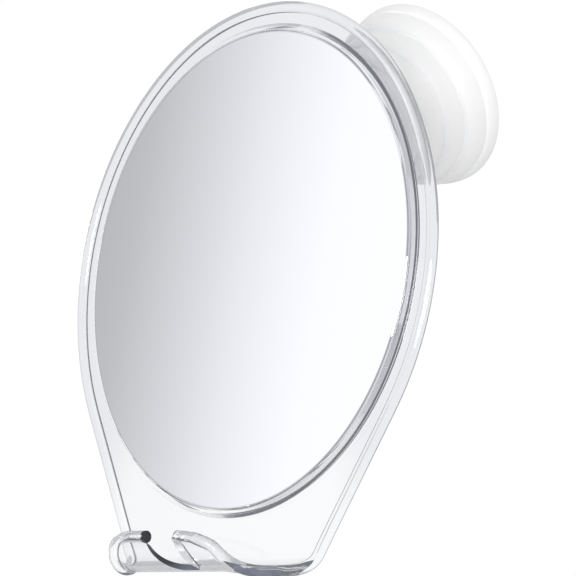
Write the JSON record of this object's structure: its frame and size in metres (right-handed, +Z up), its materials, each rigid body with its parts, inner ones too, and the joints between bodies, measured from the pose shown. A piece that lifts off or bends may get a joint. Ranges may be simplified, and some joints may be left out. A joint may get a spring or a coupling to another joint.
{
  "type": "fogless shower mirror",
  "caption": "Round shower mirror in a clear frame with a curled razor lip, on a ball joint and a stepped twist-lock suction mount.",
  "frame": {"origin": "centre of the suction pad's face on the wall", "axes": "+Y into the wall, +Z up, +X to the right of someone who looks at the wall"},
  "size_m": [0.1759, 0.1547, 0.1594],
  "materials": {
    "clear_acrylic": "polished clear",
    "silvered_mirror": "mirror",
    "grey_foam_tape": "matte",
    "white_abs": "fine satin",
    "stainless_steel": "satin",
    "acetal": "satin",
    "black_rubber": "matte",
    "clear_soft_vinyl": "smooth translucent"
  },
  "bodies": {
    "base": {"suction_pad": "clear_soft_vinyl", "pressure_ring": "white_abs", "thrust_washer": "acetal"},
    "knob": {"stepped_knob": "white_abs", "cam_ring": "acetal", "cam_screw_1": "stainless_steel", "cam_screw_2": "stainless_steel", "cam_screw_3": "stainless_steel", "stem_seal": "black_rubber"},
    "stem": {"pull_stem": "acetal", "cross_pin": "stainless_steel", "pad_insert": "stainless_steel"},
    "stud": {"ball_stud": "white_abs", "swivel_screw": "stainless_steel", "swivel_washer": "stainless_steel"},
    "liner": {"ball_liner": "acetal"},
    "head": {"clear_frame": "clear_acrylic", "mirror_disc": "silvered_mirror", "mounting_tape": "grey_foam_tape", "socket_base": "white_abs", "socket_collar": "white_abs", "friction_ring": "black_rubber", "socket_screw_1": "stainless_steel", "socket_screw_2": "stainless_steel", "socket_screw_3": "stainless_steel", "socket_screw_4": "stainless_steel"}
  },
  "joints": [
    {"name": "knob_turn", "type": "hinge", "parent": "base", "child": "knob", "pos_m": [0, 0, 0], "axis": [0, 1, 0], "range_deg": [0, 90]},
    {"name": "stem_lift", "type": "slide", "parent": "base", "child": "stem", "axis": [0, -1, 0], "range_m": [0, 0.0025], "deforming": ["suction_pad"]},
    {"name": "head_spin", "type": "hinge", "parent": "stem", "child": "stud", "pos_m": [0, -0.061, 0], "axis": [0, 1, 0], "range_deg": [-180, 180]},
    {"name": "head_pan", "type": "hinge", "parent": "stud", "child": "liner", "pos_m": [0, -0.061, 0], "axis": [0, 0, 1], "range_deg": [-11, 25]},
    {"name": "head_tilt", "type": "hinge", "parent": "liner", "child": "head", "pos_m": [0, -0.061, 0], "axis": [0.9928, -0.1201, 0], "range_deg": [-7, 58]}
  ],
  "couplings": [
    {"joint": "knob_turn", "follows": "stem_lift", "rad_per_m": 628.32}
  ]
}
